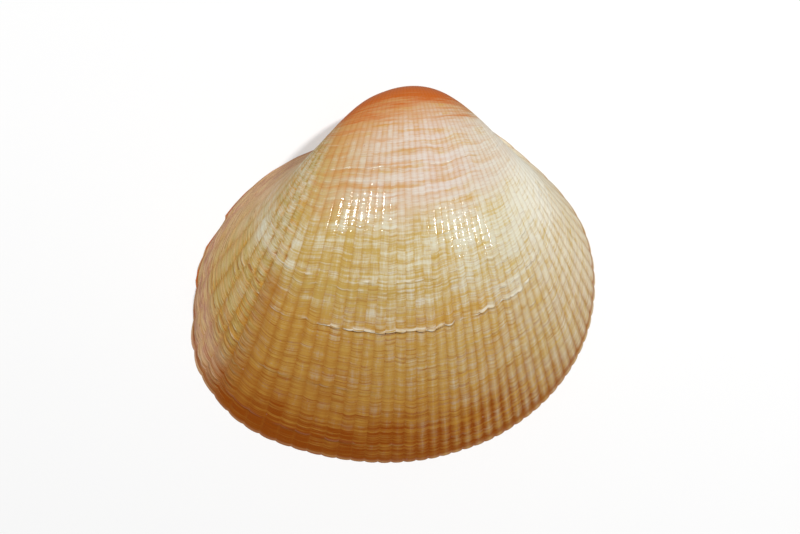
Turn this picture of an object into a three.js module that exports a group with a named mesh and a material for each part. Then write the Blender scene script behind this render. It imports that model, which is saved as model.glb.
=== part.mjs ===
// One valve of a cockle shell, lying on its margin with the domed side up.
// Millimetres. +Z is up, the beak points to +Y, the lower margin to -Y and the front end to +X.
// The valve is a spiral: each growth line is the margin's outline, smaller and turned about the hinge line.
// "growth" is that turn in radians, 0 at the margin and largest at the beak.
// "angle" is a direction in the plane of the margin, in degrees, from straight down towards the front end.
import * as THREE from "three";

// The margin's outline, as distances from the hinge point at even angles, from the back end to the front.
const MARGIN_RADII = [6, 24.5, 40, 49.8, 51.8, 51.6, 48.9, 42.8, 33.4, 21, 13.7];
const FIRST_ANGLE = -90;
const ANGLE_STEP = 18;

// The hinge point, placed so that the valve's bounds are centred on the origin.
const HINGE_X = 2.65;
const HINGE_Y = 23.6;

// Narrowing for each radian of growth, and how the width and the beak follow it.
const NARROWING = 0.87;
const WIDTH_POWER = 0.91;
const BEAK_LEAN = 4;
const BEAK_ROUNDS_FROM = 2.2;
const BEAK_ROUNDS_TO = 3.15;

// Ribs: narrowest at NARROWEST_RIB, and wider to both sides the more the smaller RIB_WIDENING is.
const RIB_COUNT = 53;
const RIB_LIMIT = 82;
const RIB_DEPTH = 0.4;
const NARROWEST_RIB = 8;
const RIB_WIDENING = 48;
const CREST_SHARE = 0.3;

// Ribs in front of this angle bow outwards.
const MIDDLE_ANGLE = -6;
const FRONT_BOW = 2;

// Growth ledges: where each one is, how far it stands out, and how far it runs back to the even surface.
const LEDGES = [0.17, 0.335, 0.48, 0.93];
const LEDGE_HEIGHT = 0.25;
const LEDGE_RUN = 0.1;
const LEDGE_RISE = 0.015;

// The hollow: how deep it lies below the outside, measured towards the hinge point, and where it stops.
// Its sides draw in by HOLLOW_CLOSING degrees for each radian of growth, to leave a wall at the back edge.
// HOLLOW_DEEPER takes its middle further up under the beak.
// FOOT_ANGLE and FOOT_INSET slope the wall at its sides.
const WALL_INSET = 2;
const HOLLOW_LIMIT = 76;
const HOLLOW_CLOSING = 9;
const HOLLOW_GROWTH = 1.4;
const HOLLOW_DEEPER = 0.25;
const FOOT_ANGLE = 1.5;
const FOOT_INSET = 1.5;
const HOLLOW_ROWS = 11;
const HOLLOW_COLUMNS = 50;

// The rows of vertices over the outside, with a close pair at each ledge.
const EVEN_ROWS = [
  0, 0.09, 0.27, 0.43, 0.58, 0.75, 1.03, 1.22, HOLLOW_GROWTH, 1.65, 1.95, 2.2, 2.45, 2.7, 2.88, 3.02,
];

// The back edge lies in the plane of the margin, just outside the last rib at each end.
const BACK_EDGE_ANGLE = 86;

// The hinge plate under the beak, and its two teeth.
const PLATE_LEVEL = 1.3;
const PLATE_THICKNESS = 1.4;
const PLATE_REACH = 4;
const PLATE_END_REACH = 0.15;
const PLATE_END_GAP = 3.6;
const PLATE_BACK_Y = -0.1;
const TEETH_X = [1.4, 4.6];
const TOOTH_WIDTH = 1;
const TOOTH_HEIGHT = 1;

const SHELL_COLOUR = 0xdfb982;
const SHELL_ROUGHNESS = 0.45;

function marginRadius(angle) {
  const last = MARGIN_RADII.length - 1;
  const place = THREE.MathUtils.clamp((angle - FIRST_ANGLE) / ANGLE_STEP, 0, last);
  const before = Math.min(Math.floor(place), last - 1);
  const part = place - before;
  const slope = (i) => {
    const low = Math.max(i - 1, 0);
    const high = Math.min(i + 1, last);
    return (MARGIN_RADII[high] - MARGIN_RADII[low]) / (high - low);
  };
  const left = MARGIN_RADII[before];
  const right = MARGIN_RADII[before + 1];
  const squared = part * part;
  const cubed = squared * part;
  return (2 * cubed - 3 * squared + 1) * left + (cubed - 2 * squared + part) * slope(before)
    + (3 * squared - 2 * cubed) * right + (cubed - squared) * slope(before + 1);
}

// How much the beak's rounded end takes off the size of a growth line.
function beakRounding(growth) {
  const part = (growth - BEAK_ROUNDS_FROM) / (BEAK_ROUNDS_TO - BEAK_ROUNDS_FROM);
  return part > 0 ? Math.sqrt(1 - part * part) : 1;
}

// A point of the valve, "inset" millimetres below the even outer surface towards the hinge point.
function valvePoint(angle, growth, inset) {
  const size = Math.exp(-NARROWING * growth);
  const radius = marginRadius(angle) * beakRounding(growth);
  const turn = THREE.MathUtils.degToRad(angle);
  const across = (radius * size ** WIDTH_POWER - inset) * Math.sin(turn);
  const down = (radius * size - inset) * Math.cos(turn);
  return new THREE.Vector3(
    HINGE_X + across + BEAK_LEAN * (1 - size),
    HINGE_Y - down * Math.cos(growth),
    down * Math.sin(growth),
  );
}

// Ribs on the front half run a little further out than their place on the margin.
function bowedAngle(angle, growth) {
  const share = (angle - MIDDLE_ANGLE) / (RIB_LIMIT - MIDDLE_ANGLE);
  if (share < 0) return angle;
  return angle + FRONT_BOW * Math.sin(Math.PI * share) * growth * Math.exp(1 - growth);
}

function ledgeHeight(growth) {
  const heights = LEDGES.map((ledge) => {
    const run = (growth - ledge) / LEDGE_RUN;
    return run >= 0 && run < 1 ? LEDGE_HEIGHT * (1 - run) : 0;
  });
  return Math.max(...heights);
}

function outerRows() {
  const pairs = LEDGES.flatMap((ledge) => [ledge - LEDGE_RISE, ledge]);
  return [...EVEN_ROWS, ...pairs].sort((a, b) => a - b);
}

// The angle at which a rib starts, or part of one.
function ribAngle(rib) {
  const first = Math.atan((-RIB_LIMIT - NARROWEST_RIB) / RIB_WIDENING);
  const last = Math.atan((RIB_LIMIT - NARROWEST_RIB) / RIB_WIDENING);
  return NARROWEST_RIB + RIB_WIDENING * Math.tan(first + (last - first) * rib / RIB_COUNT);
}

// The columns of the outside: a groove and two crest edges for each rib, and a last groove.
function ribColumns() {
  const columns = [];
  for (let rib = 0; rib < RIB_COUNT; rib += 1) {
    columns.push({ angle: ribAngle(rib), depth: RIB_DEPTH });
    columns.push({ angle: ribAngle(rib + 0.5 - CREST_SHARE), depth: 0 });
    columns.push({ angle: ribAngle(rib + 0.5 + CREST_SHARE), depth: 0 });
  }
  columns.push({ angle: RIB_LIMIT, depth: RIB_DEPTH });
  return columns;
}

// A point straight under one of the valve's points, in the plane of the margin.
function footPoint(angle, growth, inset) {
  const point = valvePoint(angle, growth, inset);
  point.z = 0;
  return point;
}

// Rows of points over the outside, from the margin to the beak, each from the back end to the front end.
function outsideSheet(rows) {
  const columns = ribColumns();
  return rows.map((growth) => {
    const size = Math.exp(-NARROWING * growth);
    const points = columns.map(({ angle, depth }) => {
      const inset = (depth - ledgeHeight(growth)) * size;
      return valvePoint(bowedAngle(angle, growth), growth, inset);
    });
    return [footPoint(-BACK_EDGE_ANGLE, growth, 0), ...points, footPoint(BACK_EDGE_ANGLE, growth, 0)];
  });
}

function toothDrop(x) {
  const drops = TEETH_X.map((tooth) => {
    const off = (x - HINGE_X - tooth) / TOOTH_WIDTH;
    return Math.max(0, 1 - off * off) * TOOTH_HEIGHT;
  });
  return Math.max(...drops);
}

// One row of the hinge plate, from its back end to its front end.
function plateRow(first, last, { reach, level, toothed }) {
  const points = [];
  for (let column = 0; column <= HOLLOW_COLUMNS; column += 1) {
    const share = column / HOLLOW_COLUMNS;
    const x = first + (last - first) * share;
    const length = PLATE_END_REACH + (PLATE_REACH - PLATE_END_REACH) * Math.sin(Math.PI * share);
    const z = toothed ? level - toothDrop(x) : level;
    points.push(new THREE.Vector3(x, HINGE_Y + PLATE_BACK_Y - reach * length, z));
  }
  return points;
}

// Rows of the hinge plate: its front edge above and below, two rows over the teeth, and its back edge.
// Each row also ends in a foot, and the feet lead from the hollow's last foot up to the plate's back edge.
function plateRows(deepest) {
  const firstFoot = deepest[0];
  const lastFoot = deepest[deepest.length - 1];
  const first = deepest[1].x + PLATE_END_GAP;
  const last = deepest[deepest.length - 2].x - PLATE_END_GAP;
  const kinds = [
    { reach: 1, level: PLATE_LEVEL + PLATE_THICKNESS, toothed: false },
    { reach: 1, level: PLATE_LEVEL, toothed: false },
    { reach: 0.75, level: PLATE_LEVEL, toothed: true },
    { reach: 0.35, level: PLATE_LEVEL, toothed: true },
    { reach: 0, level: PLATE_LEVEL, toothed: false },
  ];
  const rows = kinds.map((kind) => plateRow(first, last, kind));
  const back = rows[rows.length - 1];
  return rows.map((row, i) => {
    const share = (i + 1) / (rows.length + 1);
    return [
      firstFoot.clone().lerp(back[0], share),
      ...row,
      lastFoot.clone().lerp(back[back.length - 1], share),
    ];
  });
}

// One row of the hollow, with a foot in the plane of the margin at each end.
function hollowRow(part) {
  const limit = HOLLOW_LIMIT - HOLLOW_CLOSING * HOLLOW_GROWTH * part;
  const endGrowth = HOLLOW_GROWTH * part;
  const points = [];
  for (let column = 0; column <= HOLLOW_COLUMNS; column += 1) {
    const share = column / HOLLOW_COLUMNS;
    const growth = endGrowth * (1 + HOLLOW_DEEPER * Math.sin(Math.PI * share));
    points.push(valvePoint(limit * (2 * share - 1), growth, WALL_INSET));
  }
  const foot = (angle) => footPoint(angle, endGrowth, WALL_INSET + FOOT_INSET * part);
  return [foot(-limit - FOOT_ANGLE), ...points, foot(limit + FOOT_ANGLE)];
}

// Rows of points over the hollow, from the margin up under the beak and on over the hinge plate.
function insideSheet() {
  const rows = [];
  for (let row = 0; row <= HOLLOW_ROWS; row += 1) {
    rows.push(hollowRow(row / HOLLOW_ROWS));
  }
  return [...rows, ...plateRows(rows[HOLLOW_ROWS])];
}

class Surface {
  constructor() {
    this.positions = [];
    this.faces = [];
  }

  addSheet(rows) {
    return rows.map((row) => row.map((point) => {
      this.positions.push(point.x, point.y, point.z);
      return this.positions.length / 3 - 1;
    }));
  }

  addFace(a, b, c, flipped) {
    if (flipped) this.faces.push(a, c, b);
    else this.faces.push(a, b, c);
  }

  // Fills a sheet, facing the side that "flipped" picks.
  fillSheet(sheet, flipped) {
    for (let row = 0; row + 1 < sheet.length; row += 1) {
      for (let i = 0; i + 1 < sheet[row].length; i += 1) {
        this.addFace(sheet[row][i], sheet[row][i + 1], sheet[row + 1][i + 1], flipped);
        this.addFace(sheet[row][i], sheet[row + 1][i + 1], sheet[row + 1][i], flipped);
      }
    }
  }

  // How far along an edge each of its points lies, from 0 to 1.
  shares(edge) {
    const corner = (i) => new THREE.Vector3().fromArray(this.positions, 3 * edge[i]);
    const lengths = [0];
    for (let i = 1; i < edge.length; i += 1) {
      lengths.push(lengths[i - 1] + corner(i).distanceTo(corner(i - 1)));
    }
    return lengths.map((length) => length / lengths[edge.length - 1]);
  }

  // Joins two edges that start and end side by side, stepping along the one that lags.
  joinEdges(one, other, flipped) {
    const oneShares = this.shares(one);
    const otherShares = this.shares(other);
    let i = 0;
    let k = 0;
    while (i + 1 < one.length || k + 1 < other.length) {
      if (k + 1 >= other.length || (i + 1 < one.length && oneShares[i + 1] <= otherShares[k + 1])) {
        this.addFace(one[i], one[i + 1], other[k], flipped);
        i += 1;
      } else {
        this.addFace(one[i], other[k + 1], other[k], flipped);
        k += 1;
      }
    }
  }

  toGeometry() {
    const geometry = new THREE.BufferGeometry();
    geometry.setAttribute("position", new THREE.Float32BufferAttribute(this.positions, 3));
    geometry.setIndex(this.faces);
    geometry.computeVertexNormals();
    return geometry;
  }
}

// The outside and the inside meet along the margin, along the back edge on each side, and round the beak.
function shellGeometry() {
  const surface = new Surface();
  const rows = outerRows();
  const outside = surface.addSheet(outsideSheet(rows));
  const inside = surface.addSheet(insideSheet());
  const backEnd = (sheet) => sheet.map((row) => row[0]);
  const frontEnd = (sheet) => sheet.map((row) => row[row.length - 1]);
  const plateStart = rows.indexOf(HOLLOW_GROWTH);
  const beak = outside[rows.length - 1];
  const roundBeak = [
    ...backEnd(outside).slice(plateStart, -1),
    ...beak,
    ...frontEnd(outside).slice(plateStart, -1).reverse(),
  ];
  surface.fillSheet(outside, false);
  surface.fillSheet(inside, true);
  surface.joinEdges(outside[0], inside[0], true);
  surface.joinEdges(backEnd(outside).slice(0, plateStart + 1), backEnd(inside), false);
  surface.joinEdges(frontEnd(outside).slice(0, plateStart + 1), frontEnd(inside), true);
  surface.joinEdges(roundBeak, inside[inside.length - 1], false);
  return surface.toGeometry();
}

function shellMaterial() {
  return new THREE.MeshStandardMaterial({ color: SHELL_COLOUR, roughness: SHELL_ROUGHNESS, metalness: 0 });
}

function makeShell() {
  const shell = new THREE.Mesh(shellGeometry(), shellMaterial());
  shell.name = "shell";
  return shell;
}

const cockle = new THREE.Group();
cockle.name = "cockle_shell";
cockle.add(makeShell());

export default cockle;
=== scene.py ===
"""One valve of a ribbed cockle shell, lying on its margin on a plain pale floor."""
import math

import bpy
import numpy as np
from mathutils import Matrix, Vector


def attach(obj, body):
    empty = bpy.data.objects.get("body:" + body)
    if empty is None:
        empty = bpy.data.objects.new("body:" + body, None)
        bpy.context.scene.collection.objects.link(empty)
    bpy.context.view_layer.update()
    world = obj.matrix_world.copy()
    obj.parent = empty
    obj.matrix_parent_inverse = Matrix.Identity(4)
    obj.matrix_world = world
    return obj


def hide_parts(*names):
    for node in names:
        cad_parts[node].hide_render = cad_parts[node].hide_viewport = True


bl_info = {
    "name": "Cockle Valve",
    "version": (1, 0, 0),
    "blender": (4, 5, 0),
    "location": "View3D > Sidebar > Cockle",
    "description": "Grows a ribbed cockle valve and sets it on a plain studio floor",
    "category": "Object",
}

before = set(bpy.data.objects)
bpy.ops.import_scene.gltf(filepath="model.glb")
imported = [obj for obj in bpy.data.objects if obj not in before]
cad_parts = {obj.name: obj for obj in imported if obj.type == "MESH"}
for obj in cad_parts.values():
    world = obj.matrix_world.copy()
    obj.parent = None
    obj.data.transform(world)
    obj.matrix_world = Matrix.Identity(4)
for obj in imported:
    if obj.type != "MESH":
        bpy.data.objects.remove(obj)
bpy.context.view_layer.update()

MM = 0.001

# The valve's spiral, in millimetres and degrees, as the part has it.
# "growth" is the turn about the hinge line in radians, 0 at the margin and largest at the beak.
# "angle" is a direction in the plane of the margin, from straight down towards the front end.
MARGIN_RADII = np.array([6, 24.5, 40, 49.8, 51.8, 51.6, 48.9, 42.8, 33.4, 21, 13.7])
FIRST_ANGLE = -90
ANGLE_STEP = 18
HINGE_X = 2.65
HINGE_Y = 23.6
NARROWING = 0.87
WIDTH_POWER = 0.91
BEAK_LEAN = 4
BEAK_ROUNDS_FROM = 2.2
BEAK_ROUNDS_TO = 3.15
BEAK_END = 3.02
RIB_COUNT = 53
RIB_LIMIT = 82
NARROWEST_RIB = 8
RIB_WIDENING = 48
MIDDLE_ANGLE = -6
FRONT_BOW = 2
BACK_EDGE_ANGLE = 86

# The ribs are spread evenly between these two turns, so that those at the ends are wider.
FIRST_TURN = math.atan((-RIB_LIMIT - NARROWEST_RIB) / RIB_WIDENING)
LAST_TURN = math.atan((RIB_LIMIT - NARROWEST_RIB) / RIB_WIDENING)

# Where across a rib its columns of vertices stand, from one groove to the next.
RIB_PLACES = (0, 0.07, 0.16, 0.3, 0.5, 0.7, 0.84, 0.93)

# Length of the middle rib for each radian of growth at the margin.
MIDDLE_RUN = 68

# Spacing of the rows of vertices in millimetres, up to each growth.
ROW_STEPS = ((0.55, 0.3), (1.7, 0.55), (BEAK_END, 0.7))

# From the first of these growths to the second the ribs turn evenly round and shallower.
EVEN_GROWTHS = (0.35, 0.65)
EVEN_ROUNDNESS = 2.2
EVEN_SHALLOWER = 0.35

# Growth ledges: where, how much of the full height, and the angles between which they show.
LEDGES = (
    (0.042, 0.3, -90, 20),
    (0.085, 0.35, -60, -28),
    (0.17, 0.26, -60, 50),
    (0.262, 0.25, -50, 60),
    (0.335, 1.0, -37, 27),
    (0.378, 0.8, 14, 58),
    (0.452, 0.3, -36, 36),
    (0.482, 0.5, -44, 62),
    (0.62, 0.18, -60, 40),
    (0.93, 0.4, -80, 80),
    (1.09, 0.25, -60, 60),
    (1.36, 0.2, -60, 60),
)
LEDGE_RUN = 0.1
LEDGE_RISE = 0.003
LEDGE_FADE = 6
LEDGE_HOLLOWING = 1.6
LEDGE_EVENNESS = 0.55
LEDGE_MOST = 1.2
# How fast the lip reading fades above and below each ledge; the finish paints a highlight above the lip and a
# shadow below it.
LIP_FADE_ABOVE = 14
LIP_FADE_BELOW = 12

# Scales and pits of the back slope, and the worn places of its edge.
SCALES_PER_MM = 0.85
SCALE_BOW = 0.3
SCALE_COVER = 0.5
SCALY_ANGLES = (-40, -31)
SCALY_GROWTHS = (0.4, 0.62)
PIT_ANGLE = -38.5
PIT_REACH = 5
PIT_GROWTH = 0.52
PIT_SPREAD = 0.11
PIT_DEPTH = 0.35
NOTCH_ANGLE = -54
NOTCH_REACH = 4.5
NOTCH_DEPTH = 0.8
CORNER_ANGLE = -43.5
CORNER_REACH = 4
CORNER_HEIGHT = 0.4
CHIP_DEPTH = 1.0
CHIPS_BEGIN = (-82, -76)
CHIPS_END = (-60, -46)
CHIP_SPACING = 0.2
WEAR_GROWTH = 0.05

# Random waves of the relief: their strength, how many fit across and along, and their seed.
STATURE_WAVES = (0.16, 1.3, 0.05, 3)
LEDGE_WAVES = ((0.4, 0.4, 0, 261), (0.7, 1.6, 0, 281))
SCALE_SHIFTS = (1.3, 0.83, 0.2, 7)
SCALE_GROUPS = (1.1, 0.61, 0.45, 8)
PIT_GROUPS = (2.4, 0.77, 1.15, 9)
CHIP_WAVES = (2.6, 0.9, 0, 5)
SWELL_WAVES = (0.05, 0.35, 0.22, 11)
BAND_WAVES = (0.03, 0.1, 0.9, 12)
DRIFT_WAVES = (0.009, 0.13, 2, 2)
RIB_DRIFT_WAVES = (0.0045, 1.1, 9, 6)

# The growth lines drift along the ribs, but not near the margin or towards the two ends.
DRIFT_GROWTH = 0.15
DRIFT_ANGLES = (66, 80)

# The hollow and the hinge plate, as the part has them.
WALL_INSET = 2
HOLLOW_LIMIT = 76
HOLLOW_CLOSING = 9
HOLLOW_GROWTH = 1.4
HOLLOW_DEEPER = 0.25
FOOT_ANGLE = 1.5
FOOT_INSET = 1.5
HOLLOW_ROWS = 40
HOLLOW_ROW_CROWDING = 1.25
HOLLOW_COLUMNS = 212
LIP_REACH = 0.16
MARGIN_TEETH = 0.3
MARGIN_TEETH_END = (0.02, 0.1)
PLATE_LEVEL = 1.3
PLATE_THICKNESS = 1.4
PLATE_REACH = 4
PLATE_END_REACH = 0.15
PLATE_END_GAP = 3.6
PLATE_BACK_Y = -0.1
PLATE_EDGE_ROWS = 5
PLATE_EDGE_BULGE = 0.12
PLATE_TOP_ROWS = 9
TEETH_X = (1.4, 4.6)
TOOTH_WIDTH = 1
TOOTH_HEIGHT = 1
TOOTH_REACH = 0.82
TOOTH_FULLNESS = 0.7

# Edges of the mesh that bend by more than this are drawn sharp, in degrees.
SHARP_ANGLE = 62

# Readings that the mesh carries for its finish.
READINGS = ("rib", "angle", "growth", "arc", "lip", "scale", "inside")

# Clouds of the finish: the reading across, the scales across and along, the seed, detail and roughness.
CLOUDS = {
    "drift": ("angle", 0.11, 0.12, 1, 2, 0.5),
    "bands": ("angle", 0.03, 0.8, 4, 5, 0.65),
    "fine_bands": ("angle", 0.05, 1.9, 27, 4, 0.65),
    "threads": ("angle", 0.09, 3.6, 9, 3, 0.6),
    "streaks": ("own_rib", 0.9, 0.13, 14, 4, 0.6),
    "patches": ("own_rib", 0.33, 0.3, 21, 5, 0.62),
    "beads": ("own_rib", 0.95, 0.95, 38, 4, 0.6),
    "dashes": ("own_rib", 1.9, 2.6, 46, 3, 0.6),
    "rib_lines": ("rib", 3.4, 0.45, 101, 3, 0.6),
    "broad": ("angle", 0.045, 0.09, 44, 2, 0.5),
    "blots": ("angle", 0.25, 0.4, 33, 4, 0.5),
    "specks": ("rib", 2.2, 1.3, 71, 2, 0.5),
    "scratches": ("own_rib", 1.7, 4.6, 97, 3, 0.5),
    "contours": ("own_rib", 0.12, 1.7, 83, 3, 0.6),
    "grit": ("rib", 2.6, 3.4, 55, 3, 0.5),
    "raised_threads": ("rib", 0.5, 4.5, 61, 3, 0.6),
    "grain": ("rib", 5.0, 7.0, 67, 2, 0.5),
    "waves": ("whole_rib", 0.7, 1.3, 91, 2, 0.5),
    "glaze": ("angle", 0.05, 0.15, 51, 3, 0.5),
}

# Where the upper part of the outside and the back slope begin, and the ridge between slope and dome.
UPPER_PART = (0.6, 0.85)
BACK_SLOPE = (-33.0, -38.0)
RIDGE_ANGLE = -36.0

# Height of the back slope's grit beside that of the fine threads, and the shine under the gloss.
GRIT_HEIGHT = 2.2
SPECULAR_LEVEL = 0.06

# The camera stands where the valve shows its middle ribs and the top of its beak.
CAMERA_AZIMUTH = math.radians(-8)
CAMERA_ELEVATION = math.radians(68)
CAMERA_ROLL = math.radians(1.26)
CAMERA_DISTANCE = 0.376
CAMERA_LENS = 117.1
AIM = Vector((2.65, -2.4, 8.0)) * MM
AIM_RIGHT = -1.73 * MM
AIM_UP = 0.92 * MM
CAMERA_NEAREST = 0.01

# The soft lights: their distance in metres, then azimuth, elevation, width and height of each.
LIGHT_DISTANCE = 0.5
LEFT_LIGHT = (-128, 60, 0.03, 0.05)
RIGHT_LIGHT = (92, 57, 0.024, 0.05)

# The floor lies a little under the margin, so that the two never touch.
FLOOR_LEVEL = -0.02 * MM
FLOOR_ROUGHNESS = 0.8


def display_tone(red, green, blue):
    """A colour given as a screen shows it, 0 to 255, turned into the linear light that shaders use."""
    def linear(level):
        share = level / 255
        return share / 12.92 if share <= 0.04045 else ((share + 0.055) / 1.055) ** 2.4
    return linear(red), linear(green), linear(blue)


def tone_property(name, description, red, green, blue):
    """A colour setting whose default is given as a screen shows it."""
    return bpy.props.FloatVectorProperty(
        name=name, description=description, default=display_tone(red, green, blue),
        size=3, min=0, max=1, subtype="COLOR",
    )


def height_property(name, description, default, largest, smallest=0):
    """A height or depth setting, given in millimetres."""
    return bpy.props.FloatProperty(
        name=name, description=description, default=default * MM,
        min=smallest * MM, max=largest * MM, unit="LENGTH", precision=5,
    )


class ValveForm(bpy.types.PropertyGroup):
    """The relief of the valve."""

    rib_relief: height_property("Rib relief", "Depth of the grooves between ribs at the margin", 0.17, 1)
    rib_roundness: bpy.props.FloatProperty(
        name="Rib roundness", description="2 for evenly rounded ribs, more for flat ribs with narrow grooves",
        default=2.8, min=1, max=8,
    )
    ledge_relief: height_property("Ledge relief", "How far the boldest growth ledge stands out", 0.28, 1)
    scale_relief: height_property("Scale relief", "Height of the fine scales on the back slope", 0.28, 0.5)
    lip_thickness: height_property("Lip thickness", "Thickness of the wall at the margin", 1.2, 2, 0.5)


class ValveFinish(bpy.types.PropertyGroup):
    """The colours and gloss of the valve."""

    # Cream is also painted on the scale tips as a highlight.
    cream: tone_property("Cream", "Palest colour of the outside, over its middle", 216, 211, 187)
    # Ivory is also painted along the ledge lips as a highlight.
    ivory: tone_property("Ivory", "Whitish front end and the lips of the growth ledges", 238, 233, 215)
    blush: tone_property("Blush", "Pinkish white bands below the beak", 214, 203, 194)
    ochre: tone_property("Ochre", "Bands and streaks of the outside", 202, 152, 62)
    straw: tone_property("Straw", "Yellowish ground of the front half", 206, 178, 100)
    # Brown is also painted just below the ledge lips as a shadow.
    brown: tone_property("Brown", "Band along the margin", 146, 70, 0)
    tan: tone_property("Tan", "Bands below the beak", 196, 139, 78)
    # Rust is also painted under the scales and in the pits as shade.
    rust: tone_property("Rust", "Grooves between the ribs", 164, 102, 26)
    orange: tone_property("Orange", "The beak", 192, 94, 10)
    olive: tone_property("Olive", "The back slope", 186, 158, 86)
    peach: tone_property("Peach", "The back end", 214, 178, 142)
    mauve: tone_property("Mauve", "Patches on the back end", 182, 130, 118)
    porcelain: tone_property("Porcelain", "The inside", 238, 231, 219)
    roughness: bpy.props.FloatProperty(
        name="Roughness", description="Roughness of the rib crests",
        default=0.42, min=0, max=1, subtype="FACTOR",
    )
    coat_weight: bpy.props.FloatProperty(
        name="Gloss", description="Strength of the thin gloss",
        default=0.3, min=0, max=1, subtype="FACTOR",
    )
    coat_roughness: bpy.props.FloatProperty(
        name="Gloss roughness", description="Roughness of the thin gloss",
        default=0.07, min=0, max=1, subtype="FACTOR",
    )
    thread_depth: height_property("Thread depth", "Depth of the finest growth threads", 0.05, 0.3)
    wave_depth: height_property("Wave depth", "Depth of the growth waves that break up the gloss", 0.08, 0.3)


class StudioSetting(bpy.types.PropertyGroup):
    """The floor and the lights."""

    floor_size: bpy.props.FloatProperty(
        name="Floor size", description="Side of the square floor",
        default=3, min=0.5, unit="LENGTH",
    )
    floor_tone: bpy.props.FloatVectorProperty(
        name="Floor", description="Colour of the floor",
        default=(0.86, 0.86, 0.86), size=3, min=0, max=1, subtype="COLOR",
    )
    left_light: bpy.props.FloatProperty(
        name="Left light", description="Power of the soft light behind the valve at the left, in watts",
        default=1.3, min=0,
    )
    right_light: bpy.props.FloatProperty(
        name="Right light", description="Power of the soft light at the right, in watts",
        default=1.45, min=0,
    )
    room_light: bpy.props.FloatProperty(
        name="Room light", description="Strength of the even light all round",
        default=0.22, min=0,
    )


# Shape of the valve

def smooth_step(low, high, value):
    share = np.clip((value - low) / (high - low), 0, 1)
    return share * share * (3 - 2 * share)


def wander(x, y, seed):
    """Smooth random values from -1 to 1 over two coordinates."""
    lattice = np.random.default_rng(seed).uniform(-1, 1, (64, 64))
    column, row = np.floor(x).astype(int), np.floor(y).astype(int)
    across, down = smooth_step(0, 1, x - column), smooth_step(0, 1, y - row)

    def corner(i, k):
        return lattice[(column + i) % 64, (row + k) % 64]

    near = corner(0, 0) * (1 - across) + corner(1, 0) * across
    far = corner(0, 1) * (1 - across) + corner(1, 1) * across
    return near * (1 - down) + far * down


def waves(kind, across, along, number=0):
    """One kind of random waves. A number picks another set of the same kind."""
    strength, across_scale, along_scale, seed = kind
    return strength * wander(across * across_scale, along * along_scale, seed + number)


def margin_radius(angle):
    """Distance of the margin from the hinge point, as one smooth curve through MARGIN_RADII."""
    last = len(MARGIN_RADII) - 1
    place = np.clip((angle - FIRST_ANGLE) / ANGLE_STEP, 0, last)
    before = np.minimum(np.floor(place).astype(int), last - 1)
    part = place - before
    slopes = np.gradient(MARGIN_RADII)
    squared, cubed = part ** 2, part ** 3
    return (
        (2 * cubed - 3 * squared + 1) * MARGIN_RADII[before]
        + (cubed - 2 * squared + part) * slopes[before]
        + (3 * squared - 2 * cubed) * MARGIN_RADII[before + 1]
        + (cubed - squared) * slopes[before + 1]
    )


def beak_rounding(growth):
    part = np.clip((growth - BEAK_ROUNDS_FROM) / (BEAK_ROUNDS_TO - BEAK_ROUNDS_FROM), 0, 1)
    return np.sqrt(1 - part ** 2)


def valve_points(angle, growth, inset):
    """Points of the valve, "inset" millimetres below its even outer surface towards the hinge point."""
    size = np.exp(-NARROWING * growth)
    radius = margin_radius(angle) * beak_rounding(growth)
    turn = np.radians(angle)
    across = (radius * size ** WIDTH_POWER - inset) * np.sin(turn)
    down = (radius * size - inset) * np.cos(turn)
    return np.stack([
        HINGE_X + across + BEAK_LEAN * (1 - size),
        HINGE_Y - down * np.cos(growth),
        down * np.sin(growth),
    ], axis=-1)


def foot_points(angle, growth, inset):
    """Points straight under the valve's, in the plane of the margin."""
    points = valve_points(angle, growth, inset)
    points[..., 2] = 0
    return points


def bowed_angle(angle, growth):
    share = np.clip((angle - MIDDLE_ANGLE) / (RIB_LIMIT - MIDDLE_ANGLE), 0, None)
    return angle + FRONT_BOW * np.sin(np.pi * share) * growth * np.exp(1 - growth)


def rib_angle(rib):
    turn = FIRST_TURN + (LAST_TURN - FIRST_TURN) * rib / RIB_COUNT
    return NARROWEST_RIB + RIB_WIDENING * np.tan(turn)


def rib_at(angle):
    """The rib that runs at an angle, counted from the back end, with its part."""
    turn = np.arctan((angle - NARROWEST_RIB) / RIB_WIDENING)
    return RIB_COUNT * (turn - FIRST_TURN) / (LAST_TURN - FIRST_TURN)


def arc_length(growth):
    """Length of the middle rib from the margin, in millimetres."""
    return MIDDLE_RUN * (1 - np.exp(-NARROWING * growth)) / NARROWING


def growth_rows():
    """Growth of each row of vertices, with a close pair at each ledge."""
    rows = [0.0]
    for limit, step in ROW_STEPS:
        while rows[-1] < limit:
            rows.append(rows[-1] + step / (MIDDLE_RUN * math.exp(-NARROWING * rows[-1])))
    rows = [row for row in rows if row < BEAK_END]
    fixed = [BEAK_END, HOLLOW_GROWTH]
    for ledge, *_ in LEDGES:
        fixed += [ledge - LEDGE_RISE, ledge]
    kept = [row for row in rows if row == 0 or min(abs(row - place) for place in fixed) > LEDGE_RISE / 2]
    return np.array(sorted(kept + fixed))


def ledge_reading(angle, growth):
    """Height of the ledges from 0 to 1, and nearness to a lip: 1 just above it and -1 just below it."""
    height = np.zeros(np.broadcast(angle, growth).shape)
    lip = np.zeros_like(height)
    few, many = LEDGE_WAVES
    for number, (ledge, share, first, last) in enumerate(LEDGES):
        shown = smooth_step(first - LEDGE_FADE, first + LEDGE_FADE, angle)
        shown = shown * (1 - smooth_step(last - LEDGE_FADE, last + LEDGE_FADE, angle))
        broken = LEDGE_EVENNESS + waves(few, rib_at(angle), growth, number)
        broken = broken + waves(many, rib_at(angle), growth, number)
        shown = share * shown * np.clip(broken, 0, LEDGE_MOST)
        run = (growth - ledge) / LEDGE_RUN
        above = growth >= ledge
        height = np.maximum(height, np.where(above, shown * np.clip(1 - run, 0, 1) ** LEDGE_HOLLOWING, 0))
        near = np.where(above, np.exp(-run * LIP_FADE_ABOVE), -np.exp(run * LIP_FADE_BELOW))
        lip = np.where(np.abs(near * shown) > np.abs(lip), near * shown, lip)
    return height, lip


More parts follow.
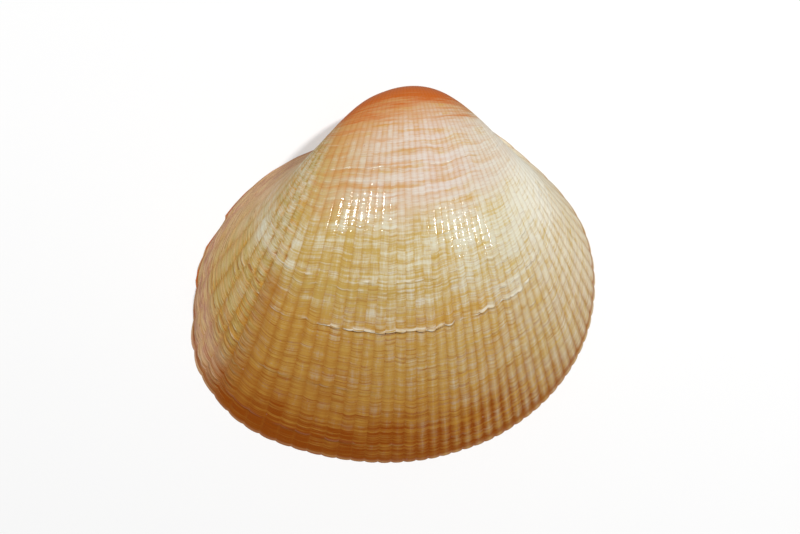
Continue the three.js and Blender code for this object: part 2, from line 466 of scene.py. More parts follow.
def edge_wear(angle):
    """How far the back edge is worn in, or juts out below zero, in millimetres."""
    notch = NOTCH_DEPTH * np.exp(-((angle - NOTCH_ANGLE) / NOTCH_REACH) ** 2)
    corner = CORNER_HEIGHT * np.exp(-((angle - CORNER_ANGLE) / CORNER_REACH) ** 2)
    chipped = smooth_step(*CHIPS_BEGIN, angle) * (1 - smooth_step(*CHIPS_END, angle))
    chips = np.clip(waves(CHIP_WAVES, rib_at(angle), angle) - CHIP_SPACING, 0, 1)
    return notch - corner + CHIP_DEPTH * chipped * chips


def outside_sheet(form, rows):
    """Points of the outside with the readings that its finish uses."""
    rib = np.concatenate([number + np.array(RIB_PLACES) for number in range(RIB_COUNT)] + [[RIB_COUNT]])
    angle = rib_angle(rib)[None, :]
    growth = rows[:, None]
    arc = arc_length(growth)
    size = np.exp(-NARROWING * growth)

    phase = np.abs(2 * (rib - np.floor(rib)) - 1)[None, :]
    stature = 1 + waves(STATURE_WAVES, rib[None, :], arc)
    evenness = smooth_step(*EVEN_GROWTHS, growth)
    roundness = form.rib_roundness + (EVEN_ROUNDNESS - form.rib_roundness) * evenness
    groove = (form.rib_relief / MM) * phase ** roundness * stature * (1 - EVEN_SHALLOWER * evenness)
    ledge, lip = ledge_reading(angle, growth)

    own_rib = np.floor(rib)[None, :]
    scale_step = (arc * SCALES_PER_MM + SCALE_BOW * phase ** 2 + waves(SCALE_SHIFTS, own_rib, arc)) % 1
    slope = 1 - smooth_step(*SCALY_ANGLES, angle)
    scaly = slope * (1 - smooth_step(*SCALY_GROWTHS, growth)) * (1 - phase ** 2)
    scaly = scaly * np.clip(SCALE_COVER + waves(SCALE_GROUPS, own_rib, arc), 0, 1)
    scales = scaly * (1 - scale_step)
    pit_place = np.exp(-((angle - PIT_ANGLE) / PIT_REACH) ** 2 - ((growth - PIT_GROWTH) / PIT_SPREAD) ** 2)
    pits = pit_place * phase ** 2 * np.clip(waves(PIT_GROUPS, np.round(rib)[None, :], arc), 0, 1)
    swell = waves(SWELL_WAVES, rib[None, :], arc) + waves(BAND_WAVES, rib[None, :], arc)
    wear = edge_wear(angle) * np.exp(-growth / WEAR_GROWTH)

    relief = groove - ledge * (form.ledge_relief / MM) - scales * (form.scale_relief / MM)
    relief = relief + pits * PIT_DEPTH + swell + wear
    drifting = np.clip(growth / DRIFT_GROWTH, 0, 1) * (1 - smooth_step(*DRIFT_ANGLES, np.abs(angle)))
    drift = drifting * (waves(DRIFT_WAVES, angle, growth) + waves(RIB_DRIFT_WAVES, rib[None, :], growth))
    points = valve_points(bowed_angle(angle, growth), growth + drift, relief * size)

    back = foot_points(np.array([[-BACK_EDGE_ANGLE]]), growth, 0)
    front = foot_points(np.array([[BACK_EDGE_ANGLE]]), growth, 0)
    points = np.concatenate([back, points, front], axis=1)

    def with_feet(values):
        values = np.broadcast_to(values, (len(rows), len(rib)))
        return np.concatenate([values[:, :1], values, values[:, -1:]], axis=1)

    readings = {
        "rib": with_feet(rib[None, :]),
        "angle": with_feet(angle),
        "growth": with_feet(growth),
        "arc": with_feet(arc),
        "lip": with_feet(lip),
        # The scale reading is 1 at each scale's lip and -1 just under the next lip and in the pits; the
        # finish paints highlight and shade from it.
        "scale": with_feet(scaly * (1 - 2 * scale_step) - pits),
        "inside": np.zeros((len(rows), len(rib) + 2)),
    }
    return points, readings


def hollow_rows(form):
    """Rows of the hollow from the margin up under the beak, with feet in the plane of the margin."""
    share = np.linspace(0, 1, HOLLOW_COLUMNS + 1)
    lip = form.lip_thickness / MM
    points, angles, growths = [], [], []
    for part in np.linspace(0, 1, HOLLOW_ROWS + 1) ** HOLLOW_ROW_CROWDING:
        limit = HOLLOW_LIMIT - HOLLOW_CLOSING * HOLLOW_GROWTH * part
        end_growth = HOLLOW_GROWTH * part
        angle = limit * (2 * share - 1)
        growth = end_growth * (1 + HOLLOW_DEEPER * np.sin(np.pi * share))
        rim = 1 - smooth_step(0, LIP_REACH, part)
        teeth = MARGIN_TEETH * np.cos(2 * np.pi * rib_at(angle)) * (1 - smooth_step(*MARGIN_TEETH_END, part))
        row = valve_points(angle, growth, WALL_INSET + (lip - WALL_INSET + edge_wear(angle)) * rim + teeth)
        foot = np.array([-limit - FOOT_ANGLE, limit + FOOT_ANGLE])
        foot_inset = WALL_INSET + (lip - WALL_INSET) * rim + FOOT_INSET * part
        feet = foot_points(foot, np.full(2, end_growth), foot_inset)
        points.append(np.concatenate([feet[:1], row, feet[1:]]))
        angles.append(np.concatenate([foot[:1], angle, foot[1:]]))
        growths.append(np.concatenate([[end_growth], growth, [end_growth]]))
    return points, angles, growths


def plate_rows(deepest):
    """Rows over the hinge plate: down its rounded front edge, over the teeth and on to its back edge."""
    share = np.linspace(0, 1, HOLLOW_COLUMNS + 1)
    first = deepest[1][0] + PLATE_END_GAP
    last = deepest[-2][0] - PLATE_END_GAP
    x = first + (last - first) * share
    length = PLATE_END_REACH + (PLATE_REACH - PLATE_END_REACH) * np.sin(np.pi * share)
    across = [1 - ((x - HINGE_X - tooth) / TOOTH_WIDTH) ** 2 for tooth in TEETH_X]
    ridge = np.clip(np.max(across, axis=0), 0, 1)

    steps = []
    for turn in np.linspace(0, math.pi, PLATE_EDGE_ROWS):
        reach = 1 - PLATE_EDGE_BULGE * (1 - math.sin(turn))
        steps.append((reach, PLATE_LEVEL + PLATE_THICKNESS * (0.5 + 0.5 * math.cos(turn)), 0))
    for reach in np.linspace(TOOTH_REACH, 0, PLATE_TOP_ROWS):
        tooth = math.sin(math.pi * min(1, reach / TOOTH_REACH)) ** TOOTH_FULLNESS
        steps.append((reach, PLATE_LEVEL, tooth))
    rows = []
    for reach, level, tooth in steps:
        y = HINGE_Y + PLATE_BACK_Y - reach * length
        rows.append(np.stack([x, y, level - TOOTH_HEIGHT * tooth * ridge], axis=-1))

    back = rows[-1]
    closed = []
    for number, row in enumerate(rows):
        share_back = (number + 1) / (len(rows) + 1)
        start = deepest[0] + (back[0] - deepest[0]) * share_back
        end = deepest[-1] + (back[-1] - deepest[-1]) * share_back
        closed.append(np.concatenate([start[None], row, end[None]]))
    return closed


def inside_sheet(form):
    points, angles, growths = hollow_rows(form)
    plate = plate_rows(points[-1])
    angles += [angles[-1]] * len(plate)
    growths += [growths[-1]] * len(plate)
    points = np.array(points + plate)
    angle = np.array(angles)
    growth = np.array(growths)
    on_plate = np.arange(len(points)) > HOLLOW_ROWS
    inside = np.where(on_plate, 2.0, 1.0)[:, None] * np.ones(angle.shape)
    return points, {
        "rib": rib_at(angle),
        "angle": angle,
        "growth": growth,
        "arc": arc_length(growth),
        "lip": np.zeros(angle.shape),
        "scale": np.zeros(angle.shape),
        "inside": inside,
    }


class ValveMesh:
    """Gathers the sheets of the valve and joins them into one closed mesh."""

    def __init__(self):
        self.points = []
        self.readings = {}
        self.faces = []

    def add_sheet(self, points, readings, flipped):
        start = len(self.points)
        rows, columns = points.shape[:2]
        self.points.extend(points.reshape(-1, 3).tolist())
        for name, values in readings.items():
            self.readings.setdefault(name, []).extend(values.reshape(-1).tolist())
        numbers = np.arange(start, start + rows * columns).reshape(rows, columns)
        quads = np.stack([numbers[:-1, :-1], numbers[:-1, 1:], numbers[1:, 1:], numbers[1:, :-1]], axis=-1)
        quads = quads.reshape(-1, 4)
        self.faces.extend((quads[:, ::-1] if flipped else quads).tolist())
        return numbers

    def directions(self, edge):
        """Directions from the hinge to the corners of an edge."""
        corners = np.array([self.points[number] for number in edge])
        return np.arctan2(corners[:, 0] - HINGE_X, HINGE_Y - corners[:, 1])

    def shares(self, edge):
        """How far along an edge each of its corners is, from 0 to 1."""
        corners = np.array([self.points[number] for number in edge])
        steps = np.linalg.norm(np.diff(corners, axis=0), axis=1)
        return np.concatenate([[0], np.cumsum(steps)]) / steps.sum()

    def join_edges(self, one, other, places, flipped):
        """Fills between two edges that start and end side by side, stepping along the one that lags."""
        one, other = [int(number) for number in one], [int(number) for number in other]
        one_places, other_places = places(one), places(other)
        i = k = 0
        while i + 1 < len(one) or k + 1 < len(other):
            if k + 1 >= len(other) or (i + 1 < len(one) and one_places[i + 1] <= other_places[k + 1]):
                face = [one[i], one[i + 1], other[k]]
                i += 1
            else:
                face = [one[i], other[k + 1], other[k]]
                k += 1
            self.faces.append(face[::-1] if flipped else face)

    def to_object(self, name):
        mesh = bpy.data.meshes.new(name)
        mesh.from_pydata((np.array(self.points) * MM).tolist(), [], self.faces)
        for reading, values in self.readings.items():
            layer = mesh.attributes.new(reading, "FLOAT", "POINT")
            layer.data.foreach_set("value", values)
        mesh.validate()
        mesh.polygons.foreach_set("use_smooth", [True] * len(mesh.polygons))
        mesh.set_sharp_from_angle(angle=math.radians(SHARP_ANGLE))
        mesh.update()
        valve = bpy.data.objects.new(name, mesh)
        bpy.context.scene.collection.objects.link(valve)
        return valve


def grow_valve(form):
    """One closed mesh from the same spiral as the part, with every rib, ledge and scale as relief."""
    body = ValveMesh()
    rows = growth_rows()
    outside = body.add_sheet(*outside_sheet(form, rows), flipped=False)
    inside = body.add_sheet(*inside_sheet(form), flipped=True)
    plate_start = int(np.argmin(np.abs(rows - HOLLOW_GROWTH)))
    round_beak = np.concatenate([
        outside[plate_start:-1, 0],
        outside[-1],
        outside[plate_start:-1, -1][::-1],
    ])
    body.join_edges(outside[0], inside[0], body.directions, flipped=True)
    body.join_edges(outside[:plate_start + 1, 0], inside[:, 0], body.shares, flipped=False)
    body.join_edges(outside[:plate_start + 1, -1], inside[:, -1], body.shares, flipped=True)
    body.join_edges(round_beak, inside[-1], body.shares, flipped=False)
    return body.to_object("cockle_valve")


# Finish of the valve

class NodeBench:
    """Adds nodes to one material, and links or sets what each of them is given."""

    def __init__(self, material):
        material.use_nodes = True
        self.tree = material.node_tree
        self.tree.nodes.clear()

    def add(self, kind, inputs, **settings):
        node = self.tree.nodes.new(kind)
        for name, value in settings.items():
            setattr(node, name, value)
        for socket, value in inputs.items():
            self.feed(node.inputs[socket], value)
        return node

    def feed(self, socket, value):
        if isinstance(value, bpy.types.NodeSocket):
            self.tree.links.new(value, socket)
        else:
            socket.default_value = value

    def reading(self, name):
        node = self.add("ShaderNodeAttribute", {}, attribute_type="GEOMETRY", attribute_name=name)
        return node.outputs["Fac"]

    def math(self, operation, *values, clamp=False):
        node = self.add("ShaderNodeMath", dict(enumerate(values)), operation=operation, use_clamp=clamp)
        return node.outputs[0]

    def product(self, *values):
        result = values[0]
        for value in values[1:]:
            result = self.math("MULTIPLY", result, value)
        return result

    def total(self, *values):
        result = values[0]
        for value in values[1:]:
            result = self.math("ADD", result, value)
        return result

    def limited(self, value):
        """A value kept from 0 to 1."""
        return self.math("ADD", value, 0.0, clamp=True)

    def between(self, value, start, end):
        """0 at start, 1 at end, and smooth in between, whichever of the two is larger."""
        falling = start > end
        limits = {"From Min": min(start, end), "From Max": max(start, end)}
        levels = {"To Min": float(falling), "To Max": float(not falling)}
        inputs = {"Value": value, **limits, **levels}
        node = self.add("ShaderNodeMapRange", inputs, interpolation_type="SMOOTHSTEP", clamp=True)
        return node.outputs["Result"]

    def curve(self, value, *stops):
        """A line through (place, height) stops."""
        low, high = stops[0][0], stops[-1][0]
        heights = [height for _, height in stops]
        least, most = min(heights), max(heights)
        along = self.math("DIVIDE", self.math("SUBTRACT", value, low), high - low, clamp=True)
        node = self.add("ShaderNodeValToRGB", {0: along})
        elements = node.color_ramp.elements
        for number, (place, height) in enumerate(stops):
            share = (place - low) / (high - low)
            element = elements[number] if number < 2 else elements.new(share)
            element.position = share
            level = (height - least) / (most - least)
            element.color = (level, level, level, 1)
        return self.math("MULTIPLY_ADD", node.outputs["Color"], most - least, least)

    def clouds(self, across, across_scale, along, along_scale, seed, detail, roughness):
        """Noise about 0.5 over a reading across the ribs and one along them, each with its own scale."""
        x, y = self.product(across, across_scale), self.product(along, along_scale)
        place = self.add("ShaderNodeCombineXYZ", {0: x, 1: y, 2: float(seed)}).outputs[0]
        inputs = {"Vector": place, "Scale": 1.0, "Detail": float(detail), "Roughness": roughness}
        return self.add("ShaderNodeTexNoise", inputs, noise_dimensions="3D").outputs["Fac"]

    def mix(self, base, over, share):
        """Lays one colour over another. Each is a socket or one of the finish's colours."""
        base, over = [
            colour if isinstance(colour, bpy.types.NodeSocket) else solid(colour) for colour in (base, over)
        ]
        return self.add("ShaderNodeMix", {0: share, 6: base, 7: over}, data_type="RGBA").outputs[2]

    def mix_values(self, base, over, share):
        return self.add("ShaderNodeMix", {0: share, 2: base, 3: over}, data_type="FLOAT").outputs[0]

    def bump(self, height, depth):
        """Normals of a fine relief whose height 1 is as high as the depth."""
        inputs = {"Strength": 1.0, "Distance": depth, "Height": height}
        return self.add("ShaderNodeBump", inputs).outputs["Normal"]

    def finish_with(self, inputs):
        """The surface's own shader, with constant values set on its sockets."""
        shader = self.add("ShaderNodeBsdfPrincipled", inputs)
        self.add("ShaderNodeOutputMaterial", {"Surface": shader.outputs["BSDF"]})


def solid(colour):
    return (*colour[:], 1.0)


class ShellPlaces:
    """The readings of the mesh, the clouds over them, and the zones that several layers share."""

    def __init__(self, bench):
        self.bench = bench
        for name in READINGS:
            setattr(self, name, bench.reading(name))
        self.whole_rib = bench.math("FLOOR", self.rib)
        self.own_rib = bench.total(self.whole_rib, bench.product(self.rib, 0.15))
        across_rib = bench.math("MULTIPLY_ADD", bench.math("FRACT", self.rib), 2.0, -1.0)
        self.crest = bench.math("SUBTRACT", 1.0, bench.math("ABSOLUTE", across_rib))
        for name, (across, across_scale, *others) in CLOUDS.items():
            setattr(self, name, bench.clouds(getattr(self, across), across_scale, self.arc, *others))
        self.stage = bench.total(self.growth, self.sway(drift=0.14))
        self.upper = bench.between(self.stage, *UPPER_PART)
        self.back_slope = bench.between(self.angle, *BACK_SLOPE)

    def sway(self, **widths):
        """The sum of some clouds, each from about -width / 2 to width / 2."""
        return self.bench.total(*(
            self.bench.math("MULTIPLY_ADD", getattr(self, name), width, -width / 2)
            for name, width in widths.items()
        ))


def golden_ground(bench, finish, at):
    """Ochre, yellower towards the front, greener over the middle belt and rusty in the grooves."""
    yellow = bench.total(
        bench.curve(at.angle, (-30, 0.0), (-5, 0.1), (12, 0.35), (28, 0.85), (60, 1.0)),
        at.sway(broad=1.6, beads=1.0),
        bench.product(bench.between(at.stage, 0.34, 0.46), 0.5),
    )
    ground = bench.mix(finish.ochre, finish.straw, bench.limited(yellow))
    mossy = bench.product(
        bench.curve(at.stage, (0.05, 0.0), (0.2, 0.35), (0.34, 0.4), (0.42, 0.7), (1.0, 0.65), (1.2, 0.0)),
        bench.curve(at.angle, (-34, 1.0), (-4, 1.0), (22, 0.4), (40, 0.0)),
    )
    ground = bench.mix(ground, finish.olive, mossy)
    uneven_crest = bench.total(at.crest, at.sway(streaks=1.6, beads=1.6))
    rusty = bench.product(
        bench.between(uneven_crest, 0.7, 0.0),
        bench.curve(at.stage, (0, 0.5), (0.3, 0.45), (0.45, 0.2), (0.6, 0.1)),
        bench.curve(at.angle, (-30, 1.0), (-12, 0.45), (10, 0.25), (40, 0.3)),
    )
    return bench.mix(ground, finish.rust, rusty)


def pale_share(bench, at):
    """How much of the whitish layer covers the ground: little at the margin, most above and in front."""
    by_growth = bench.curve(
        at.stage, (0, 0.05), (0.17, 0.12), (0.32, 0.18), (0.37, 0.26), (0.44, 0.32), (0.52, 0.5), (0.6, 0.5),
        (0.75, 0.7), (1.2, 0.76), (1.32, 0.6), (1.5, 0.3),
    )
    by_angle = bench.curve(
        at.angle, (-60, -0.2), (-30, -0.3), (-12, -0.12), (0, 0.0), (22, 0.4), (45, 0.7), (62, 0.95),
        (82, 1.0),
    )
    mottling = at.sway(streaks=1.2, patches=2.0, beads=0.9)
    share = bench.total(
        by_growth,
        bench.product(by_angle, bench.between(at.growth, 1.5, 1.0)),
        bench.product(at.upper, bench.curve(at.angle, (-40, -0.75), (-12, -0.5), (12, -0.08))),
        bench.product(mottling, bench.math("MULTIPLY_ADD", bench.between(at.stage, 0.28, 0.48), 0.45, 0.55)),
        bench.product(at.sway(dashes=1.9), bench.curve(at.stage, (0, 0.5), (0.3, 0.6), (0.42, 0.75))),
        at.sway(bands=1.1, fine_bands=0.6, threads=1.5, rib_lines=1.5),
        bench.product(
            bench.total(at.crest, -0.55),
            bench.curve(at.stage, (0, 0.3), (0.3, 0.3), (0.42, 0.22), (1.0, 0.2)),
        ),
    )
    strength = bench.curve(at.stage, (0, 0.7), (0.3, 0.82), (0.42, 1.0))
    return bench.product(bench.between(share, -0.15, 1.25), strength)


def lay_upper_bands(bench, finish, at, colour):
    """Pinkish white and tan bands between the middle belt and the beak."""
    pinkish = bench.product(
        at.upper,
        bench.curve(at.angle, (-36, 0.0), (-16, 0.7), (8, 1.0), (34, 0.3), (60, 0.0)),
        bench.between(bench.total(at.bands, bench.product(at.patches, 0.5)), 0.5, 0.8),
    )
    colour = bench.mix(colour, finish.blush, pinkish)
    banding = bench.total(
        at.bands,
        bench.product(at.fine_bands, 0.7),
        bench.product(at.streaks, 0.5),
        bench.product(at.beads, 0.3),
        bench.product(at.crest, 0.14),
    )
    banded = bench.product(
        at.upper,
        bench.between(banding, 1.55, 1.04),
        bench.curve(at.angle, (-34, 1.0), (-12, 0.85), (10, 0.62), (36, 0.3), (60, 0.15)),
    )
    return bench.mix(colour, finish.tan, banded)


def back_ground(bench, finish, at):
    """Olive and ochre ribs with rusty grooves, under broken yellowish cream."""
    uneven_crest = bench.total(at.crest, at.sway(dashes=0.8, beads=1.2, grit=1.2))
    rusty = bench.product(
        bench.between(uneven_crest, 0.42, 0.0),
        bench.curve(at.growth, (0, 0.45), (0.35, 0.36), (0.6, 0.32), (1.3, 0.3)),
    )
    ground = bench.mix(finish.olive, finish.ochre, bench.between(at.beads, 0.44, 0.6))
    ground = bench.mix(ground, finish.rust, rusty)
    whiter = bench.curve(at.growth, (0, 0.35), (0.4, 0.6), (0.5, 1.0))
    pale = bench.total(
        bench.curve(at.growth, (0, 0.05), (0.12, 0.16), (0.36, 0.3), (0.5, 0.62), (0.65, 0.4), (1.3, 0.5)),
        at.sway(beads=1.6, streaks=2.0, patches=1.0, dashes=1.5, grit=1.6, crest=0.4),
    )
    pale = bench.math("MULTIPLY", pale, 0.8, clamp=True)
    return bench.mix(ground, bench.mix(finish.straw, finish.cream, whiter), pale)


def lay_back_slope(bench, finish, at, colour):
    """The back slope with its peach end, a rusty stain on the ridge, and mauve on the worn edge."""
    towards_end = bench.total(
        at.angle,
        at.sway(patches=24.0, grit=20.0),
        bench.curve(at.growth, (0, 4.0), (0.3, 4.0), (0.5, 0.0)),
    )
    low_edge = bench.product(
        bench.between(bench.total(at.growth, at.sway(blots=0.1)), 0.15, 0.07),
        bench.between(at.angle, -36.0, -41.0),
    )
    peachy = bench.math("MAXIMUM", bench.between(towards_end, -48.0, -62.0), low_edge)
    peachy = bench.product(peachy, bench.between(at.dashes, 0.75, 0.4), 0.85)
    back = bench.mix(back_ground(bench, finish, at), finish.peach, peachy)
    colour = bench.mix(colour, back, at.back_slope)

    from_ridge = bench.total(at.angle, at.sway(beads=8.0), -RIDGE_ANGLE)
    ridge = bench.product(
        bench.between(bench.math("ABSOLUTE", from_ridge), 4.5, 1.0),
        bench.curve(at.growth, (0.1, 0.3), (0.25, 0.5), (0.4, 0.85), (0.47, 0.0)),
        bench.between(at.patches, 0.3, 0.55),
        0.75,
    )
    colour = bench.mix(colour, finish.rust, ridge)

    low_corner = bench.product(bench.between(at.angle, -38.0, -46.0), bench.between(at.growth, 0.18, 0.06))
    far_edge = bench.product(bench.between(at.angle, -62.0, -72.0), bench.between(at.growth, 0.7, 0.3))
    worn = bench.product(
        bench.math("MAXIMUM", low_corner, far_edge),
        bench.between(at.blots, 0.42, 0.58),
        bench.between(at.grit, 0.7, 0.4),
        0.8,
    )
    return bench.mix(colour, finish.mauve, worn)


def lay_brown_margin(bench, finish, at, colour):
    """Brown bands above the margin, over whole ribs at the back and mostly in the grooves at the front."""
    in_grooves = bench.math("MULTIPLY_ADD", at.crest, -0.9, 1.35)
    banding = bench.total(1.0, at.sway(fine_bands=2.4, threads=1.2, streaks=1.0))
    brown = bench.product(
        bench.curve(at.stage, (0, 1.0), (0.06, 0.92), (0.1, 0.6), (0.18, 0.36), (0.32, 0.2), (0.5, 0.0)),
        bench.curve(
            at.angle, (-82, 0.04), (-56, 0.07), (-44, 0.18), (-37, 0.9), (-15, 1.0), (6, 0.8), (26, 0.46),
            (45, 0.2), (82, 0.1),
        ),
        bench.mix_values(1.0, in_grooves, bench.between(at.angle, -14.0, 12.0)),
        banding,
    )
    return bench.mix(colour, finish.brown, bench.limited(brown))


def lay_dark_lines(bench, finish, at, colour):
    """Short dark scratches, and broken dark lines along the growth."""
    scratched = bench.product(
        bench.between(at.scratches, 0.57, 0.68),
        bench.curve(at.growth, (0, 0.6), (0.3, 0.45), (0.5, 0.25), (1.3, 0.15)),
        bench.curve(at.angle, (-60, 1.0), (20, 0.8), (60, 0.3)),
    )
    colour = bench.mix(colour, finish.brown, scratched)
    from_contour = bench.math("ABSOLUTE", bench.total(at.contours, -0.47))
    lined = bench.product(
        bench.between(from_contour, 0.03, 0.006),
        bench.between(at.beads, 0.4, 0.54),
        bench.curve(at.growth, (0, 0.7), (0.3, 0.5), (0.6, 0.2), (1.4, 0.12)),
        bench.curve(at.angle, (-60, 0.9), (-10, 1.0), (20, 0.6), (60, 0.3)),
    )
    return bench.mix(colour, finish.brown, lined)


def lay_beak(bench, finish, at, colour):
    """Tan and orange over the beak, with peach ribs on its back."""
    near_beak = bench.total(
        at.growth,
        at.sway(bands=0.9, fine_bands=0.6),
        bench.product(bench.between(at.angle, -8.0, -34.0), 0.14),
    )
    colour = bench.mix(colour, finish.tan, bench.product(bench.between(near_beak, 1.12, 1.42), 0.8))
    colour = bench.mix(colour, finish.orange, bench.between(near_beak, 1.3, 1.64))
    ribbed = bench.total(0.6, at.sway(fine_bands=1.6, streaks=1.0, crest=0.9))
    behind = bench.product(bench.between(at.growth, 1.8, 2.05), ribbed)
    return bench.mix(colour, finish.peach, bench.limited(behind))


def lay_gaps(bench, finish, at, colour):
    """A thin rust line in each groove in front of the back slope."""
    gaps = bench.product(
        bench.between(at.crest, 0.28, 0.0),
        bench.curve(
            at.growth, (0, 0.24), (0.2, 0.22), (0.45, 0.2), (0.7, 0.2), (1.4, 0.16), (1.7, 0.34), (2.3, 0.5),
        ),
        bench.between(at.angle, -37.0, -33.0),
        bench.curve(at.angle, (-30, 1.0), (-14, 0.7), (0, 0.35), (12, 0.6), (35, 0.8), (60, 0.4)),
        bench.product(at.beads, 2.0),
    )
    return bench.mix(colour, finish.rust, bench.limited(gaps))


def lay_painted_scale_and_lip_light(bench, finish, at, colour):
    """Painted light on the back slope and the ledges: a cream highlight on the scale tips, rust shade under
    the scales and in the pits, and on each ledge a whitish highlight line over a dark shadow line.
    """
    # Painted highlight: cream on the lip of each scale on the back slope.
    painted_tip_highlight = bench.product(bench.between(at.scale, 0.4, 0.9), bench.between(at.dashes, 0.4, 0.56), 0.5)
    colour = bench.mix(colour, finish.cream, painted_tip_highlight)
    # Painted shade: rust under the lip of each scale and in the pits.
    colour = bench.mix(colour, finish.rust, bench.product(bench.between(at.scale, -0.1, -0.6), 0.7))
    # Painted highlight: a broken whitish line along the lip above each growth ledge.
    painted_lip_highlight = bench.product(
        bench.between(at.lip, 0.1, 0.45),
        bench.between(at.dashes, 0.38, 0.56),
        bench.curve(at.growth, (0.12, 0.1), (0.32, 0.66)),
    )
    colour = bench.mix(colour, finish.ivory, painted_lip_highlight)
    # Painted shadow: a brown line just below each ledge lip.
    return bench.mix(colour, finish.brown, bench.product(bench.between(at.lip, -0.15, -0.8), 0.35))


def lay_rim(bench, finish, at, colour):
    """A brown line just above the rim, a little peach on it, and an orange stain on the worn back edge."""
    line = bench.product(bench.between(at.growth, 0.004, 0.01), bench.between(at.growth, 0.022, 0.013), 0.6)
    colour = bench.mix(colour, finish.brown, line)
    colour = bench.mix(colour, finish.peach, bench.product(bench.between(at.growth, 0.009, 0.003), 0.2))
    stained = bench.product(
        bench.between(bench.total(at.growth, at.sway(grit=0.02)), 0.02, 0.008),
        bench.between(at.angle, -50.0, -58.0),
        bench.between(at.blots, 0.48, 0.56),
        0.8,
    )
    return bench.mix(colour, finish.orange, stained)


def outside_colour(bench, finish, at):
    """Golden ochre under whitish cream in bands and streaks, brown at the margin and orange at the beak, with
    painted highlight and shade on the scales and ledges.
    """
    pale = bench.mix(finish.cream, finish.ivory, bench.between(at.angle, 16.0, 44.0))
    colour = bench.mix(golden_ground(bench, finish, at), pale, pale_share(bench, at))
    for lay in (
        lay_upper_bands, lay_back_slope, lay_brown_margin, lay_dark_lines, lay_beak, lay_gaps,
        lay_painted_scale_and_lip_light, lay_rim,
    ):
        colour = lay(bench, finish, at, colour)
    return bench.mix(colour, finish.mauve, bench.product(bench.between(at.specks, 0.73, 0.78), 0.8))


def inside_colour(bench, finish, at):
    """Porcelain white, warmer under the beak, with a stained margin."""
    depth = bench.product(bench.between(bench.total(at.growth, at.glaze), 0.9, 2.0), 0.5)
    colour = bench.mix(finish.porcelain, finish.blush, depth)
    margin = bench.product(bench.between(at.growth, 0.09, 0.0), bench.total(at.glaze, 0.1))
    return bench.mix(colour, finish.ochre, margin)


def shell_finish(finish):
    """Colours by rib, growth and angle, fine threads in relief, and a thin gloss over them."""
    material = bpy.data.materials.new("cockle_shell_finish")
    bench = NodeBench(material)
    at = ShellPlaces(bench)
    inside = bench.between(at.inside, 0.3, 0.8)

    outer_roughness = bench.total(
        finish.roughness,
        bench.product(bench.between(at.crest, 0.5, 0.0), 0.15),
        at.sway(raised_threads=0.3),
        bench.product(bench.between(at.angle, -34.0, -60.0), 0.1),
    )
    inner_roughness = bench.math("MULTIPLY_ADD", at.raised_threads, 0.1, 0.24)

    calm = bench.product(
        bench.mix_values(1.0, 0.25, inside),
        bench.math("MULTIPLY_ADD", bench.between(at.growth, 1.5, 0.9), 0.75, 0.25),
    )
    threads = bench.total(bench.product(at.raised_threads, 0.75), bench.product(at.grain, 0.25))
    grit = bench.product(at.grit, at.back_slope, bench.between(at.growth, 1.1, 0.7), GRIT_HEIGHT)
    relief = bench.total(bench.product(threads, calm), grit)

    colour = bench.mix(outside_colour(bench, finish, at), inside_colour(bench, finish, at), inside)
    bench.finish_with({
        "Base Color": colour,
        "Roughness": bench.mix_values(outer_roughness, inner_roughness, inside),
        "Normal": bench.bump(relief, finish.thread_depth),
        "Coat Normal": bench.bump(bench.product(at.waves, calm), finish.wave_depth),
        "Specular IOR Level": SPECULAR_LEVEL,
        "Coat Weight": finish.coat_weight,
        "Coat Roughness": finish.coat_roughness,
    })
    return material


# Stage

def make_floor(setting):
    half = setting.floor_size / 2
    mesh = bpy.data.meshes.new("studio_floor")
    corners = [(-half, -half), (half, -half), (half, half), (-half, half)]
    mesh.from_pydata([(x, y, FLOOR_LEVEL) for x, y in corners], [], [(0, 1, 2, 3)])
    floor = bpy.data.objects.new("studio_floor", mesh)
    bpy.context.scene.collection.objects.link(floor)
    material = bpy.data.materials.new("pale_floor")
    bench = NodeBench(material)
    bench.finish_with({"Base Color": solid(setting.floor_tone), "Roughness": FLOOR_ROUGHNESS})
    mesh.materials.append(material)
    floor.visible_glossy = False


def direction(azimuth, elevation):
    """From the valve: azimuth 0 is towards -Y and 90 towards +X."""
    a, e = math.radians(azimuth), math.radians(elevation)
    return Vector((math.sin(a) * math.cos(e), -math.cos(a) * math.cos(e), math.sin(e)))


def add_soft_light(name, azimuth, elevation, width, height, power):
    light = bpy.data.lights.new(name, "AREA")
    light.shape = "RECTANGLE"
    light.size = width
    light.size_y = height
    light.energy = power
    lamp = bpy.data.objects.new(name, light)
    way = direction(azimuth, elevation)
    lamp.location = AIM + way * LIGHT_DISTANCE
    lamp.rotation_mode = "QUATERNION"
    lamp.rotation_quaternion = (-way).to_track_quat("-Z", "Y")
    bpy.context.scene.collection.objects.link(lamp)


def set_room_light(strength):
    world = bpy.data.worlds.new("studio_room")
    world.use_nodes = True
    background = world.node_tree.nodes["Background"]
    background.inputs["Color"].default_value = (1, 1, 1, 1)
    background.inputs["Strength"].default_value = strength
    bpy.context.scene.world = world


def place_camera():
    back = direction(math.degrees(CAMERA_AZIMUTH), math.degrees(CAMERA_ELEVATION))
    right = Vector((math.cos(CAMERA_AZIMUTH), math.sin(CAMERA_AZIMUTH), 0))
    up = back.cross(right)
    turned_right = math.cos(CAMERA_ROLL) * right + math.sin(CAMERA_ROLL) * up
    turned_up = math.cos(CAMERA_ROLL) * up - math.sin(CAMERA_ROLL) * right
    camera = bpy.data.objects.new("camera", bpy.data.cameras.new("camera"))
    camera.data.lens = CAMERA_LENS
    camera.data.clip_start = CAMERA_NEAREST
    spot = AIM + back * CAMERA_DISTANCE + turned_right * AIM_RIGHT + turned_up * AIM_UP
    axes = Matrix((turned_right, turned_up, back)).transposed()
    camera.matrix_world = Matrix.Translation(spot) @ axes.to_4x4()
    bpy.context.scene.collection.objects.link(camera)
    bpy.context.scene.camera = camera


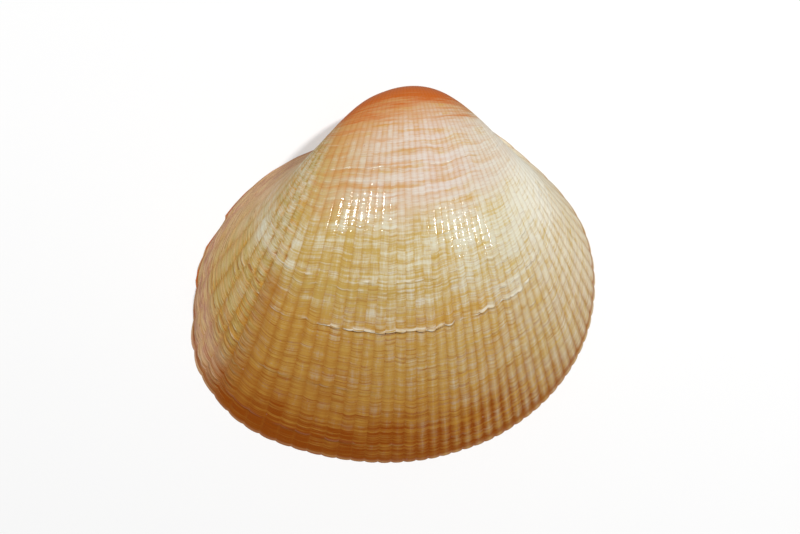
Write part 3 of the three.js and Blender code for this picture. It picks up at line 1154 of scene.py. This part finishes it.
class COCKLE_OT_add_valve(bpy.types.Operator):
    """Grow the valve and give it its finish"""

    bl_idname = "cockle.add_valve"
    bl_label = "Add Valve"

    def execute(self, context):
        valve = grow_valve(context.scene.cockle_form)
        if not valve.data.polygons:
            raise RuntimeError("the valve has no faces")
        valve.data.materials.append(shell_finish(context.scene.cockle_finish))
        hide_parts("shell")
        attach(valve, "root")
        return {"FINISHED"}


class COCKLE_OT_set_stage(bpy.types.Operator):
    """Lay the floor, hang the lights and place the camera"""

    bl_idname = "cockle.set_stage"
    bl_label = "Set Stage"

    def execute(self, context):
        setting = context.scene.cockle_studio
        make_floor(setting)
        add_soft_light("left_soft_light", *LEFT_LIGHT, setting.left_light)
        add_soft_light("right_soft_light", *RIGHT_LIGHT, setting.right_light)
        set_room_light(setting.room_light)
        place_camera()
        context.scene.view_settings.view_transform = "Standard"
        return {"FINISHED"}


class COCKLE_PT_tools(bpy.types.Panel):
    """Lists the steps that make the valve, with their settings"""

    bl_idname = "COCKLE_PT_tools"
    bl_label = "Cockle Valve"
    bl_space_type = "VIEW_3D"
    bl_region_type = "UI"
    bl_category = "Cockle"

    def draw(self, context):
        for operator, group in (
            (COCKLE_OT_add_valve, context.scene.cockle_form),
            (None, context.scene.cockle_finish),
            (COCKLE_OT_set_stage, context.scene.cockle_studio),
        ):
            column = self.layout.column()
            if operator:
                column.operator(operator.bl_idname)
            for name in group.__annotations__:
                column.prop(group, name)


CLASSES = (ValveForm, ValveFinish, StudioSetting, COCKLE_OT_add_valve, COCKLE_OT_set_stage, COCKLE_PT_tools)


def register():
    for kind in CLASSES:
        bpy.utils.register_class(kind)
    bpy.types.Scene.cockle_form = bpy.props.PointerProperty(type=ValveForm)
    bpy.types.Scene.cockle_finish = bpy.props.PointerProperty(type=ValveFinish)
    bpy.types.Scene.cockle_studio = bpy.props.PointerProperty(type=StudioSetting)


def unregister():
    del bpy.types.Scene.cockle_studio
    del bpy.types.Scene.cockle_finish
    del bpy.types.Scene.cockle_form
    for kind in reversed(CLASSES):
        bpy.utils.unregister_class(kind)


def main():
    register()
    bpy.ops.cockle.add_valve()
    bpy.ops.cockle.set_stage()


if __name__ == "__main__":
    main()
